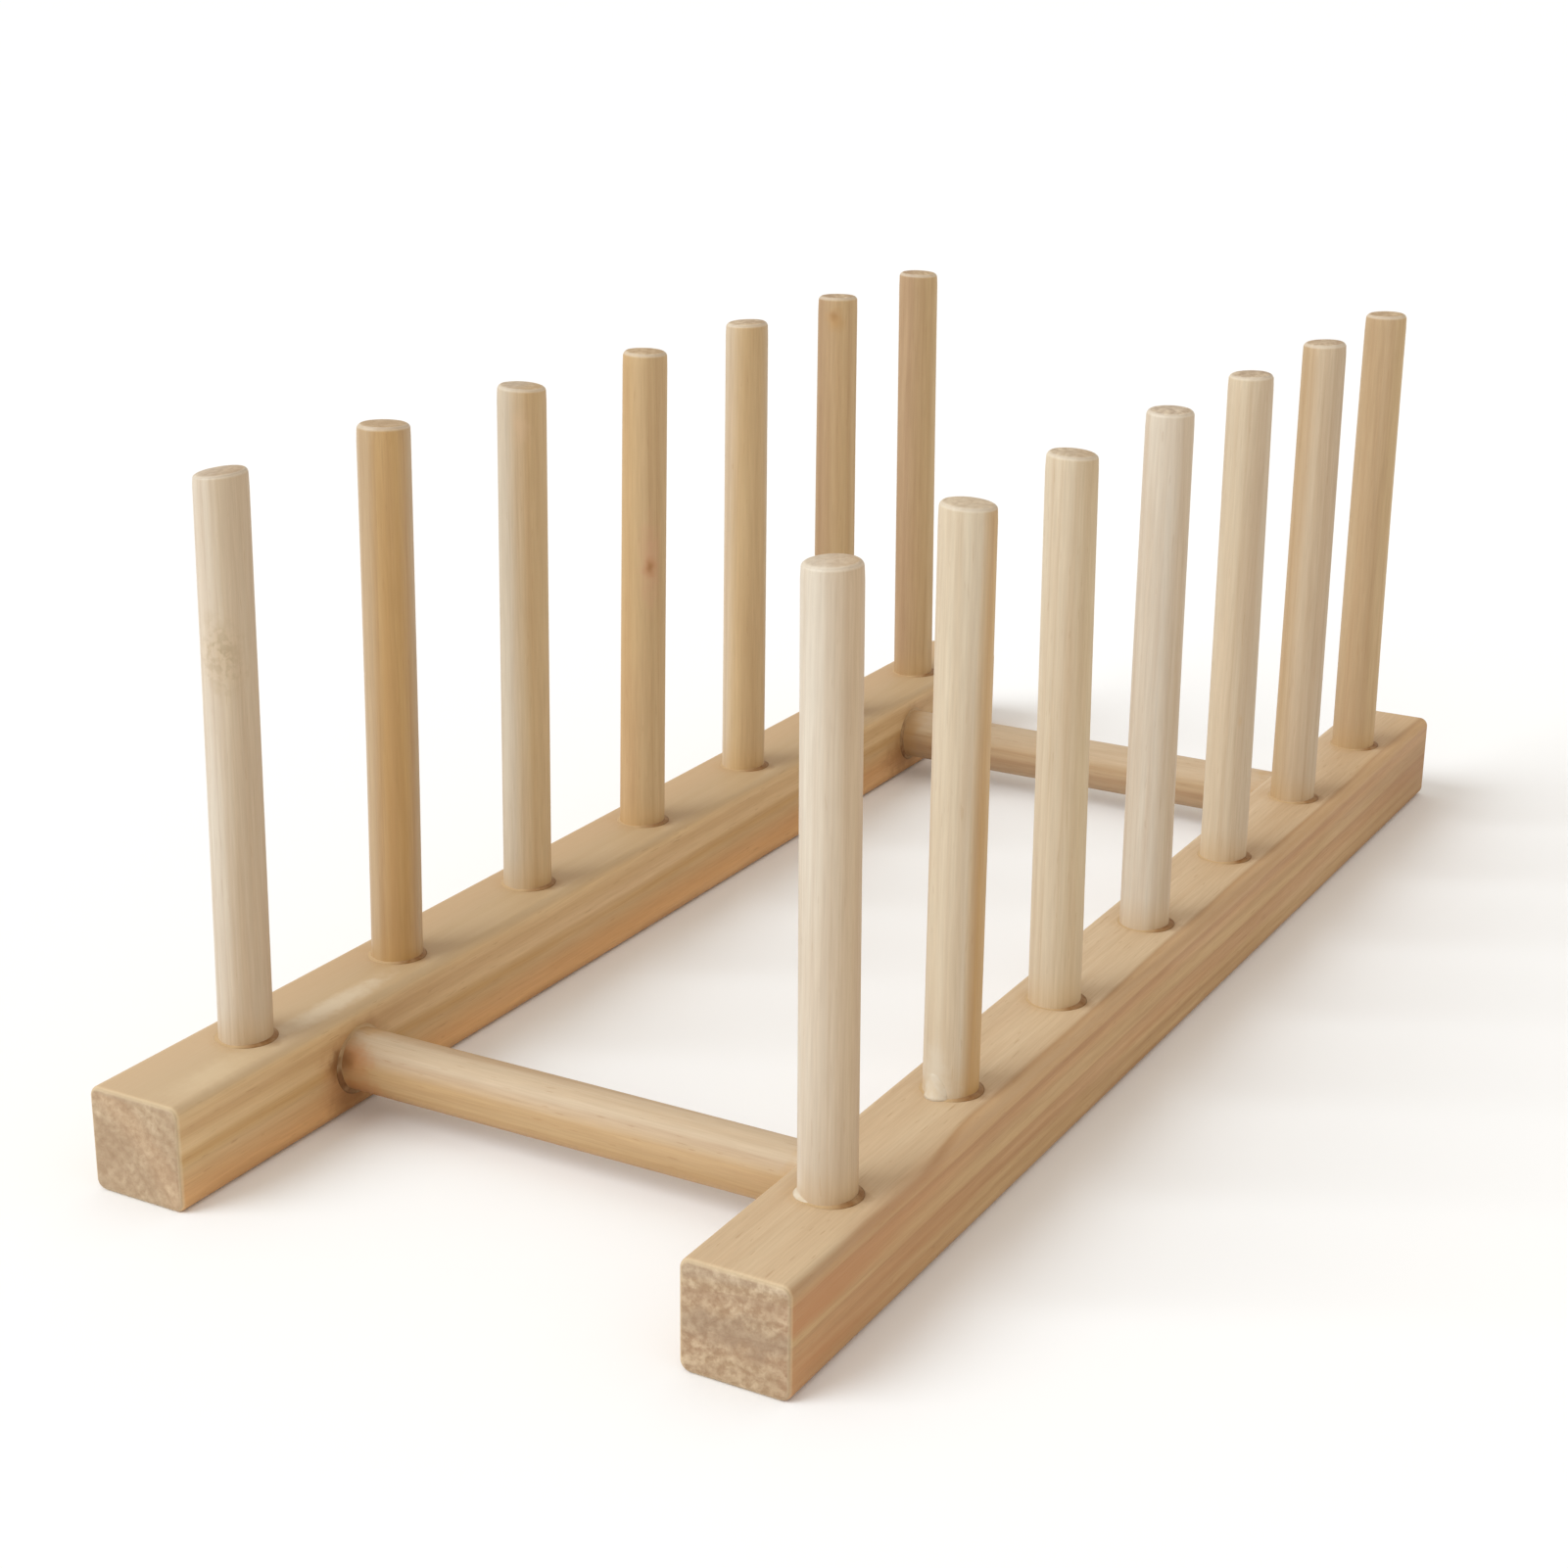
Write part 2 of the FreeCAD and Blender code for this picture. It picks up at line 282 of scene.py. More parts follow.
class Pine:
    """Solid pine: growth rings round a pith line, fibres along the grain, rough cut ends.

    centre is the middle of the piece and pith the way from there to the tree's centre line, both in
    the row frame, in metres. bands are (millimetres, colour) stops on the way outwards from the pith,
    with 0 at the centre. ring_width is in millimetres. rings: how strongly the rings show. lean: the
    slope of the grain in radians. seed: which piece of noise it takes. wander: how crooked the grain
    is. rasp: how coarse the surface is. rough: its roughness. shade: how light it is."""

    def __init__(
        self, name, grain, centre, pith, bands, ring_width,
        rings, lean, seed, wander, rasp=1.0, rough=0.55, shade=1.0,
    ):
        self.material = bpy.data.materials.new(name)
        self.material.use_nodes = True
        self.t = t = Tree(self.material.node_tree)
        self.seed = seed

        # Millimetres from the pith: x and y across the grain, z along it.
        self.row, place = t.row_place()
        turn = list(GRAIN_TURN[grain])
        turn[0] += lean[0]
        turn[1] += lean[1]
        mapping = t.add("ShaderNodeMapping", vector_type="TEXTURE")
        mapping.inputs["Location"].default_value = centre + pith
        mapping.inputs["Rotation"].default_value = turn
        mapping.inputs["Scale"].default_value = (MM, MM, MM)
        t.feed(mapping.inputs["Vector"], place.outputs["Object"])
        log = mapping.outputs[0]
        self.own = t.vector("ADD", log, tuple(seed * shift for shift in SEED_SHIFT))

        # Slow waves of the rings along the log, and small ones across it.
        long_way = self.stretched(WAVE_STRETCH)
        bent = t.vector("ADD", log, t.drift(long_way, 0.05, 3.0 * wander))
        bent = t.vector("ADD", bent, t.drift(long_way, 0.35, 0.45 * wander))
        across_x, across_y, _ = t.split(bent)
        radius = t.length(t.join(across_x, across_y, 0.0))
        outwards = t.maths("SUBTRACT", radius, pith.length / MM)

        # Rings: springwood darkens slowly to summerwood, then starts again.
        count = t.maths("DIVIDE", radius, ring_width)
        uneven = t.noise(t.join(count, seed, 0.0), 0.9, detail=1.0)
        count = t.maths("ADD", count, t.maths("MULTIPLY", uneven, 1.3))
        year = t.maths("FLOOR", count)
        growth = t.maths("FRACT", count)
        good_year = t.add("ShaderNodeTexWhiteNoise", noise_dimensions="1D")
        t.feed(good_year.inputs["W"], t.maths("ADD", year, seed * SEED_YEARS))
        strength = t.span(good_year.outputs["Value"], 0.0, 1.0, 0.35, 1.0)
        self.line = t.times(t.grey_ramp(growth, YEAR), strength)

        # Fibres, fine and coarse, stretched along the grain, and soft clouds of colour.
        fibre_space = self.stretched(FIBRE_STRETCH)
        fine = t.noise(fibre_space, 3.2, detail=3.0, roughness=0.62)
        coarse = t.noise(fibre_space, 0.8)
        cloud = t.noise(long_way, 0.11)
        blush = t.noise(t.vector("ADD", long_way, (31.0, 7.0, 3.0)), 0.17)

        # Resin canals: short dark dashes along the grain, dots on a cut end.
        canals = t.span(t.noise(self.stretched(CANAL_STRETCH), 2.6, detail=0.0), 0.76, 0.82)

        colour = t.ramp(outwards, bands[0][0], bands[-1][0], bands)
        ring_tint = t.blend(1.0, colour, RING_TINT, "MULTIPLY")
        colour = t.blend(t.times(self.line, rings), colour, ring_tint)
        cloud_tint = t.blend(1.0, colour, TAN, "MULTIPLY")
        colour = t.blend(t.span(cloud, 0.38, 0.68, 0.0, 0.20), colour, cloud_tint)
        colour = t.blend(t.span(blush, 0.50, 0.72, 0.0, 0.22), colour, BLUSH)
        colour = t.blend(t.span(coarse, 0.30, 0.72, 0.20, 0.0), colour, ring_tint)
        lift = t.span(fine, 0.25, 0.75, 0.93 * shade, 1.05 * shade)
        colour = t.blend(1.0, colour, t.join(lift, lift, lift), "MULTIPLY")
        self.colour = t.blend(t.times(canals, 0.28 * rasp), colour, BROWN)

        # A cut end shows where the surface faces along the grain.
        self.facing = t.maths("ABSOLUTE", t.along(place.outputs["Normal"], GRAIN_WAY[grain]))
        self.cut_end = t.span(self.facing, 0.55, 0.92, curve="SMOOTHSTEP")
        self.rough = t.span(fine, 0.25, 0.75, rough + ROUGH_SPREAD, rough - ROUGH_SPREAD)
        relief = t.times(fine, FIBRE_RELIEF * rasp)
        relief = t.maths("ADD", relief, t.times(self.line, RING_RELIEF * rasp))
        self.relief = t.maths("SUBTRACT", relief, t.times(canals, CANAL_RELIEF * rasp))

    def stretched(self, stretch):
        """The piece's own space, in which noise is drawn out along the grain."""
        return self.t.vector("MULTIPLY", self.own, (1.0, 1.0, stretch))

    def saw_ends(self, dark, pale, share, fineness=0.75, contrast=0.13):
        """Torn end grain: specks, blotches and grit, with the wood's own rings showing through."""
        t = self.t
        speck = t.noise(self.own, fineness, detail=3.0, roughness=0.60)
        blotch = t.noise(self.own, 0.16)
        grit = t.noise(self.own, 2.6, roughness=0.6)
        tint = t.blend(t.span(speck, 0.51 - contrast, 0.51 + contrast), dark, pale)
        tint = t.blend(t.span(blotch, 0.40, 0.64, 0.0, 0.50), tint, dark)
        tint = t.blend(t.times(self.line, 0.45), tint, dark)
        end_colour = t.blend(share, self.colour, tint)
        self.colour = t.blend(self.cut_end, self.colour, end_colour)
        self.rough = t.maths("ADD", self.rough, t.times(self.cut_end, TORN_ROUGHNESS))
        torn = t.maths("ADD", t.times(speck, SPECK_RELIEF), t.times(grit, GRIT_RELIEF))
        self.relief = t.maths("ADD", self.relief, t.times(self.cut_end, torn))

    def painted_rim_highlight(self, colour, share):
        """The rounded rim between a cut end and the sides, painted lighter as a highlight where it
        catches the light.
        """
        t = self.t
        outer = t.span(self.facing, 0.20, 0.55)
        inner = t.fall(self.facing, 0.86, 0.985)
        self.stain(t.times(outer, inner), colour, share)

    def stain(self, mask, colour, share):
        self.colour = self.t.blend(self.t.times(mask, share), self.colour, colour)

    def ragged(self, distance, scale, reach):
        """A distance made uneven by up to about reach each way. Millimetres."""
        t = self.t
        return t.maths("ADD", distance, t.span(t.noise(self.row, scale), 0.3, 0.7, -reach, reach))

    def patch(self, place, size, soft):
        """A mask round a point of the row frame. place and size are in millimetres, along x, y and z."""
        t = self.t
        away = t.vector("SUBTRACT", self.row, tuple(place))
        away = t.vector("MULTIPLY", away, tuple(1 / part for part in size))
        waver = t.drift(t.vector("ADD", self.row, (self.seed, 5.0, 9.0)), 0.45, 0.35, detail=2.0)
        distance = t.length(t.vector("ADD", away, waver))
        return t.fall(distance, 1.0 - soft, 1.0, "SMOOTHSTEP")

    def add_stains(self, origin, stains):
        """Patches of colour whose middles are given from an origin. Millimetres."""
        for stain in stains:
            mask = self.patch(origin + Vector(stain.middle), stain.size, stain.soft)
            self.stain(mask, stain.colour, stain.share)

    def specks(self, mask):
        """A mask broken up into small specks."""
        t = self.t
        return t.times(mask, t.span(t.noise(self.row, 0.8), 0.44, 0.60))

    def done(self):
        self.t.surface(self.colour, self.rough, self.relief)
        return self.material


# A stain: its middle and half its size along x, y and z (mm), how soft its outline is, its colour
# and its strength.
Stain = namedtuple("Stain", "middle size soft colour share")


def finish_node(node, material):
    """Gives a node of the frame its material. Its mesh stays as it is."""
    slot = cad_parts[node].material_slots[0]
    slot.link = "OBJECT"
    slot.material = material


# ---------------------------------------------------------------- dowels

AROUND = 72                             # points round a dowel
PROFILE_STEP = 2.5                      # between rings of points along it, about (mm)
RIM_STEPS = 6                           # rings of points round its rim
TOP_SHARES = (0.8, 0.6, 0.4, 0.2, 0.0)  # rings of points on its flat end, as shares of the rim's

PEG_RIM = 1.0       # radius of a peg's upper rim (mm)
DOWEL_LEAD = 1.0    # length and depth of the lead-in at a glued end (mm)

PEG_FLATS = 0.07    # how far a peg is out of round (mm)
BAR_FLATS = 0.10    # and a cross bar
TOP_ZONE = 2.2      # how far below its top a peg is worn (mm)
RIM_WEAR = 0.30     # how far its rim is worn in (mm)
RIM_DENT = 0.35     # and down, as a share of that


class Wobble:
    """A smooth random number for an angle and a height, about -1 to 1."""

    def __init__(self, chance, waves=(1, 2, 3), pitch=60.0):
        self.parts = []
        for wave in waves:
            share = 1 / (len(waves) * wave ** 0.5)
            phase = chance.uniform(0, TURN)
            climb = chance.uniform(-1, 1) * TURN / pitch
            self.parts.append((wave, share, phase, climb))

    def at(self, angle, height=0.0):
        return sum(
            share * math.cos(wave * angle + phase + climb * height)
            for wave, share, phase, climb in self.parts
        )


def dowel_profile(radius, length, rim):
    """(radius, height) pairs from the middle of the lead-in end to the middle of the far one, in mm."""
    lead = DOWEL_LEAD
    profile = [(0.0, 0.0), (radius - lead, 0.0), (radius - lead / 2, lead / 2), (radius, lead)]
    steps = round((length - lead - rim) / PROFILE_STEP)
    for step in range(1, steps + 1):
        profile.append((radius, lead + (length - lead - rim) * step / steps))
    for step in range(1, RIM_STEPS + 1):
        angle = math.pi / 2 * step / RIM_STEPS
        profile.append((radius - rim + rim * math.cos(angle), length - rim + rim * math.sin(angle)))
    for share in TOP_SHARES:
        profile.append(((radius - rim) * share, length))
    return profile


def smooth_mesh(name, points, faces):
    mesh = bpy.data.meshes.new(name)
    mesh.from_pydata(points, [], faces)
    mesh.polygons.foreach_set("use_smooth", [True] * len(mesh.polygons))
    mesh.update()
    return mesh


def ring_mesh(name, rings):
    """A mesh from rings of points. A ring of one point closes that end."""
    points = []
    starts = []
    for ring in rings:
        starts.append(len(points))
        points.extend(ring)
    faces = []
    for lower, upper, low, high in zip(rings, rings[1:], starts, starts[1:]):
        count = max(len(lower), len(upper))
        for step in range(count):
            after = (step + 1) % count
            if len(lower) == 1:
                faces.append((low, high + after, high + step))
            elif len(upper) == 1:
                faces.append((low + step, low + after, high))
            else:
                faces.append((low + step, low + after, high + after, high + step))
    return smooth_mesh(name, points, faces)


def add_piece(name, mesh, material, slot, *nodes):
    """A piece on the rack's one body, and the nodes it stands for, if any, which it hides.
    slot: not used.
    """
    piece = bpy.data.objects.new(name, mesh)
    bpy.context.scene.collection.objects.link(piece)
    mesh.materials.append(material)
    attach(piece, "root")
    if nodes:
        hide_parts(*nodes)


def peg_mesh(node, look, seed):
    """A sanded peg: slightly out of round, bowed and tapered, with a worn, domed, sloping top."""
    low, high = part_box(node)
    centre = centre_of(node)
    radius = radius_of(node)
    length = (high.z - low.z) / MM
    chance = random.Random(seed)
    flats = Wobble(chance, pitch=90.0)
    rim_wear = Wobble(chance, waves=(1, 2, 3, 5))
    bow_way = chance.uniform(0, TURN)
    bow = chance.uniform(0.05, 0.22)
    dome = chance.uniform(0.15, 0.35)
    slope_way = math.radians(look.slope[0])
    lean = [math.tan(math.radians(part)) for part in look.lean]
    rings = []
    for reach, height in dowel_profile(radius, length, PEG_RIM):
        ring = []
        near_top = min(1.0, max(0.0, (height - length + TOP_ZONE) / TOP_ZONE))
        shift = bow * math.sin(math.pi * height / length)
        tip = height - HOLE_DEPTH / 2
        shrink = look.taper * max(0.0, height - HOLE_DEPTH) / length
        share = reach / radius
        for step in range(AROUND if reach > 0 else 1):
            angle = TURN * step / AROUND
            inward = PEG_FLATS * (1 + flats.at(angle, height)) / 2 + shrink
            worn = near_top * RIM_WEAR * (1 + rim_wear.at(angle)) / 2 * share ** 3
            out = reach * (1 - (inward + worn) / radius)
            fall = look.slope[1] * (1 + math.cos(angle - slope_way) * share) / 2
            dent = RIM_DENT * worn * share
            drop = near_top * (dome * share ** 2 + fall + dent)
            x = out * math.cos(angle) + shift * math.cos(bow_way) + lean[0] * tip
            y = out * math.sin(angle) + shift * math.sin(bow_way) + lean[1] * tip
            ring.append((centre.x + x * MM, centre.y + y * MM, low.z + (height - drop) * MM))
        rings.append(ring)
    return ring_mesh(node + "_wood", rings)


def bar_mesh(node, seed):
    """A round bar along x, slightly out of round and bowed, with a lead-in at both ends."""
    low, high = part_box(node)
    centre = centre_of(node)
    radius = radius_of(node)
    length = (high.x - low.x) / MM
    chance = random.Random(seed)
    flats = Wobble(chance, pitch=80.0)
    bow = chance.uniform(0.1, 0.25)
    rings = []
    for reach, height in dowel_profile(radius, length, DOWEL_LEAD):
        ring = []
        for step in range(AROUND if reach > 0 else 1):
            angle = TURN * step / AROUND
            out = reach * (1 - BAR_FLATS * (1 + flats.at(angle, height)) / 2 / radius)
            y = out * math.cos(angle) + bow * math.sin(math.pi * height / length)
            z = out * math.sin(angle)
            ring.append((low.x + height * MM, centre.y + y * MM, centre.z + z * MM))
        rings.append(ring)
    return ring_mesh(node + "_wood", rings)


# ---------------------------------------------------------------- pegs

# How a peg looks. side: the way its deepest colour faces (degrees from +x). start and soft: where
# that colour starts and how softly (mm from the middle). pale and deep: its two colours, partly the
# wood's own banding and partly painted light and shade, which lighten or darken one side of the peg.
# lean: in x and y (degrees, no more than its hole lets it). taper: how much its radius shrinks towards
# the top (mm). end: how dark its cut end is. rough: its roughness. slope: which way its top falls
# (degrees) and how far (mm).
PegLook = namedtuple("PegLook", "side start soft pale deep lean taper end rough slope")

PEGS = {
    "left_peg_1": PegLook(10, 1.5, 1.6, CHALK, STONE, (0.70, 0.38), 0.25, 0.50, 0.44, (209, 1.2)),
    "left_peg_2": PegLook(-44, 4.2, 0.7, OAT, HONEY, (0.68, 0.36), 0.00, 0.30, 0.40, (100, 0.3)),
    "left_peg_3": PegLook(5, 2.2, 1.8, PUTTY, WHEAT, (0.50, 0.25), 0.10, 0.40, 0.52, (29, 0.6)),
    "left_peg_4": PegLook(-150, 1.6, 2.0, WHEAT, TAN, (0.66, 0.36), 0.30, 0.55, 0.64, (29, 0.3)),
    "left_peg_5": PegLook(-40, 3.2, 1.2, STONE, WHEAT, (0.20, 0.10), 0.25, 0.60, 0.62, (209, 0.4)),
    "left_peg_6": PegLook(-150, 1.8, 2.4, WHEAT, DRAB, (-0.20, -0.10), 0.35, 0.70, 0.67, (120, 0.3)),
    "left_peg_7": PegLook(-150, 1.0, 2.4, WHEAT, DRAB, (-0.60, -0.33), 0.20, 0.55, 0.67, (29, 0.2)),
    "right_peg_1": PegLook(29, 0.5, 3.0, CHALK, SHELL, (-0.40, -0.20), 0.15, 0.25, 0.42, (209, 0.5)),
    "right_peg_2": PegLook(8, 3.6, 0.8, CREAM, HONEY, (-0.10, 0.00), 0.10, 0.40, 0.44, (29, 0.6)),
    "right_peg_3": PegLook(20, 1.0, 2.0, CREAM, SAND, (-0.60, -0.30), 0.30, 0.55, 0.60, (29, 0.5)),
    "right_peg_4": PegLook(20, 2.0, 1.4, CHALK, STONE, (-0.30, -0.15), 0.40, 0.65, 0.52, (300, 0.3)),
    "right_peg_5": PegLook(20, 0.0, 2.0, CREAM, STONE, (-0.35, -0.20), 0.40, 0.80, 0.62, (209, 0.3)),
    "right_peg_6": PegLook(-165, 2.4, 1.4, STONE, OAT, (-0.10, -0.05), 0.35, 0.65, 0.64, (209, 0.4)),
    "right_peg_7": PegLook(-150, -1.0, 2.0, WHEAT, OAT, (-0.20, -0.10), 0.35, 0.50, 0.64, (209, 0.2)),
}
PALE_PEGS = ("left_peg_1", "right_peg_1", "right_peg_2", "right_peg_3", "right_peg_4", "right_peg_5")

# Blemishes: peg, height above the ground (mm), side (degrees from +x), width and height (mm), colour,
# strength, and whether it is broken up into specks.
BLEMISHES = (
    ("left_peg_1", 93, -52, 6.0, 11.0, OAT, 0.40, False),
    ("left_peg_1", 93, -52, 5.4, 10.0, ASH, 0.65, True),
    ("left_peg_2", 60, -49, 1.3, 75.0, AMBER, 0.50, False),
    ("left_peg_3", 117, -45, 2.6, 5.0, BLUSH, 0.50, False),
    ("left_peg_4", 80, -32, 3.4, 14.0, ROSE, 0.70, False),
    ("left_peg_4", 79, -32, 2.0, 3.4, RUST, 0.60, False),
    ("left_peg_4", 79, -32, 1.1, 1.9, BROWN, 0.60, False),
    ("left_peg_6", 119.5, -72, 3.4, 3.8, AMBER, 0.70, False),
    ("left_peg_6", 120.5, -78, 1.6, 2.0, BROWN, 0.50, False),
    ("right_peg_1", 22.5, -140, 3.0, 5.0, CHALK, 0.55, False),
    ("right_peg_2", 25.0, -100, 3.6, 8.0, MILKY_GLUE, 0.85, False),
    ("right_peg_2", 21.0, -98, 5.2, 7.0, MILKY_GLUE, 0.85, False),
    ("right_peg_5", 52, -50, 0.8, 2.4, AMBER, 0.40, False),
)
BLEMISH_SOFT = 0.95

PEG_RING = 2.2      # width of a growth ring (mm)
PITH_AWAY = 38.0    # from a peg's middle to the tree's centre line (mm)
BAND_END = 6.0      # where a peg's colour bands end, just past its surface (mm)
BAND_GAP = 0.1      # least distance between the last two colour stops (mm)
# A peg's foot is warmer and darker: glue stain, with painted shade and warm light thrown up from the
# rail.
FOOT_STAIN_AND_SHADE = 7.0    # how far up a peg the stain at its foot reaches (mm)
PEG_SEED = 100


def dress_pegs():
    for index, (node, look) in enumerate(PEGS.items()):
        centre = centre_of(node)
        way = math.radians(look.side)
        pith = Vector((-math.cos(way), -math.sin(way), 0)) * PITH_AWAY * MM
        deep_from = min(look.start + look.soft, BAND_END - BAND_GAP)
        # The wood's banding, with painted light and shade on one side of the peg.
        bands = [
            (-BAND_END, look.pale), (look.start - look.soft, look.pale),
            (deep_from, look.deep), (BAND_END, look.deep),
        ]
        wood = Pine(
            node + "_pine", "z", centre, pith, bands, PEG_RING,
            rings=0.24, lean=(0.006, 0.004), seed=index + 1.0, wander=0.25, rasp=0.5, rough=look.rough,
            shade=0.93,
        )
        wood.saw_ends(END_DARK, STONE, look.end)
        # A painted highlight on the rim of the top.
        wood.painted_rim_highlight(CHALK, 0.45)
        z = wood.t.split(wood.row)[2]
        # Glue stain at the peg's foot, with painted shade and warm bounced light.
        wood.stain(wood.t.fall(z, RAIL_TOP, RAIL_TOP + FOOT_STAIN_AND_SHADE), HONEY, 0.28)
        for peg, height, face, width, tall, colour, share, speckled in BLEMISHES:
            if peg == node:
                angle = math.radians(face)
                place = centre / MM + Vector((math.cos(angle), math.sin(angle), 0)) * radius_of(node)
                place.z = height
                mark = wood.patch(place, (width, width, tall), BLEMISH_SOFT)
                wood.stain(wood.specks(mark) if speckled else mark, colour, share)
        slot = "pale_peg_pine" if node in PALE_PEGS else "warm_peg_pine"
        add_piece(node + "_wood", peg_mesh(node, look, PEG_SEED + index), wood.done(), slot, node)


# ---------------------------------------------------------------- rails

# The ways that wet glue was pulled as the pegs and the cross bars were pushed in. The glue lies
# heaviest on these sides, and they carry painted shade too: at the pegs' feet and in the cross bars'
# joints.
PEG_GLUE_AND_SHADE_ANGLE = math.radians(5)
PEG_GLUE_AND_SHADE_WAY = Vector((math.cos(PEG_GLUE_AND_SHADE_ANGLE), math.sin(PEG_GLUE_AND_SHADE_ANGLE), 0))
BAR_GLUE_AND_SHADE_WAY = Vector((0, -0.94, -0.34))

# Where the tree's centre line lies, from the middle of each rail (m), how wide its rings are (mm)
# and its colour bands.
LEFT_PITH = Vector((-0.050, 0, -0.045))
RIGHT_PITH = Vector((0.010, 0, -0.090))
LEFT_RING = 3.4
RIGHT_RING = 3.0
LEFT_BANDS = [
    (-15.0, CREAM), (-9.0, TAN), (-1.0, TAN), (2.0, TOFFEE), (4.6, TOFFEE), (7.2, TAN), (8.0, HONEY),
    (9.2, GOLD), (13.0, GOLD), (15.5, SAND),
]
RIGHT_BANDS = [
    (-11.0, CARAMEL), (-8.5, TAN), (-5.5, TAN), (-3.0, CARAMEL), (-1.0, FAWN), (0.8, TAN), (3.4, TAN),
    (5.0, CARAMEL), (6.6, FAWN), (8.4, TAN), (9.3, SHELL), (12.0, SHELL),
]

# Stretches (mm) of wear with a painted highlight, of painted shade, and of glue stain with painted
# shade: where each is full and where it ends. The first two are measured across a rail's edge, the
# third from a peg's axis, the fourth from the middle of the smudge beside it and the last from a
# point just below a cross bar's axis.
TOP_WEAR_AND_HIGHLIGHT = (0.9, 2.1)
GROUND_SHADE = (0.8, 3.0)
PEG_HALO = (5.2, 7.8)
PEG_SMUDGE_AND_SHADE = (1.0, 3.4)
BAR_HALO = (6.4, 10.0)
SMUDGE_AND_SHADE_AWAY = 4.6       # from a peg's axis to the middle of the smudge
BAR_HALO_BELOW = 1.8          # from a cross bar's axis down to the middle of its halo

# Pale streaks on the left rail's top, and brown beside and below the cross bars, on the left rail and
# on the front bar: old glue, and painted shade in the joint, darkest in the umber patches. Their
# middles are given from where the bar's axis enters the rail.
FRONT_STREAKS = (
    Stain((-5.0, -2.0, 10.0), (3.6, 24.0, 3.0), 0.8, CREAM, 0.62),
    Stain((-4.5, -35.0, 10.0), (4.4, 17.0, 3.0), 0.9, SAND, 0.45),
)
FRONT_GLUE_AND_SHADE_STAINS = (
    Stain((0.0, -6.0, -1.0), (3.0, 9.0, 9.5), 0.95, RUST, 0.60),
    Stain((0.0, -6.8, 1.5), (3.0, 3.4, 4.6), 0.8, UMBER, 0.85),
    Stain((0.0, -4.0, -6.6), (3.0, 8.0, 5.0), 0.9, BROWN, 0.75),
)
REAR_GLUE_AND_SHADE_STAINS = (
    Stain((0.0, -7.0, -4.0), (3.0, 12.0, 8.0), 0.9, BROWN, 0.65),
)
FRONT_BAR_STAINS_AND_SHADE = (
    Stain((4.0, -4.5, -4.0), (9.0, 5.0, 5.5), 0.9, RUST, 0.80),
    Stain((2.0, -4.8, 2.4), (7.0, 4.5, 4.0), 0.8, RUST, 0.85),
    Stain((0.5, -5.0, 1.8), (3.5, 3.5, 3.0), 0.8, UMBER, 0.70),
)


def bar_entry(side, bar):
    """Where a cross bar's axis enters the rail on a side. Millimetres."""
    low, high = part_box(side + "_rail")
    inner_x = high.x if side == "left" else low.x
    centre = centre_of(bar) / MM
    return Vector((inner_x / MM, centre.y, centre.z))


def from_peg(t, across, y):
    """The level way from the nearest peg's axis. across is how far x is from the rail's middle (mm)."""
    return t.join(across, t.maths("WRAP", y, PEG_PITCH / 2, -PEG_PITCH / 2), 0.0)


def wear_and_shade_rail(wood, node, bar_stain_and_shade):
    """Paler top edges, worn and with a painted highlight, painted shade along the bottom edges, and glue
    stains with painted shade round the pegs and cross bars.
    """
    t = wood.t
    low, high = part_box(node)
    low, high = low / MM, high / MM
    middle = (low + high) / 2
    half = (high - low) / 2
    x, y, z = t.split(wood.row)
    across = t.maths("SUBTRACT", x, middle.x)
    from_side = t.maths("SUBTRACT", half.x, t.maths("ABSOLUTE", across))
    from_top = t.maths("SUBTRACT", high.z, z)
    from_ground = t.maths("SUBTRACT", z, low.z)
    patchy = t.span(t.noise(wood.stretched(WEAR_STRETCH), 0.30, detail=3.0), 0.35, 0.65, -0.5, 0.8)
    top_edge = t.maths("ADD", t.maths("ADD", from_side, from_top), patchy)
    foot_edge = t.maths("ADD", t.maths("ADD", from_side, from_ground), patchy)
    # Paler along the top edges: wear, and a painted highlight on the rounded arris.
    wood.stain(t.fall(top_edge, *TOP_WEAR_AND_HIGHLIGHT), SAND, 0.12)
    # Darker along the bottom edges: painted shade next to the floor.
    wood.stain(t.fall(foot_edge, *GROUND_SHADE), BROWN, 0.45)

    # Round each peg a faint ring, and a brown smudge where most of the glue ran, on its +x side: glue
    # stains, with painted shade at the peg's foot.
    on_top = t.fall(from_top, 0.2, 1.0)
    around = from_peg(t, across, y)
    reach = wood.ragged(t.length(around), 0.22, 1.2)
    wood.stain(t.times(t.fall(reach, *PEG_HALO), on_top), AMBER, 0.22)
    smudge_and_shade = t.length(t.vector("SUBTRACT", around, tuple(PEG_GLUE_AND_SHADE_WAY * SMUDGE_AND_SHADE_AWAY)))
    smudge_and_shade = wood.ragged(smudge_and_shade, 0.30, 0.8)
    wood.stain(t.times(t.fall(smudge_and_shade, *PEG_SMUDGE_AND_SHADE), on_top), GLUE_AND_SHADE_BROWN, 0.55)

    # Brown round each cross bar, on the rail's inner face, a little below its axis: glue stain, and
    # painted shade in the joint.
    beside = t.maths("SUBTRACT", t.maths("ABSOLUTE", y), BAR_Y)
    above = t.maths("SUBTRACT", z, BAR_Z - BAR_HALO_BELOW)
    reach = wood.ragged(t.length(t.join(beside, above, 0.0)), 0.20, 1.5)
    inner_x = min(abs(low.x), abs(high.x))
    inside = t.fall(t.maths("ABSOLUTE", x), inner_x + 0.5, inner_x + 2.0)
    wood.stain(t.times(t.fall(reach, *BAR_HALO), inside), BROWN, bar_stain_and_shade)


# Stretches of the left rail's top (mm): its paler front, along y, and its blushed outer edge, along x.
PALE_FRONT = (-135.0, -95.0)
BLUSHED_EDGE = (-66.0, -58.0)


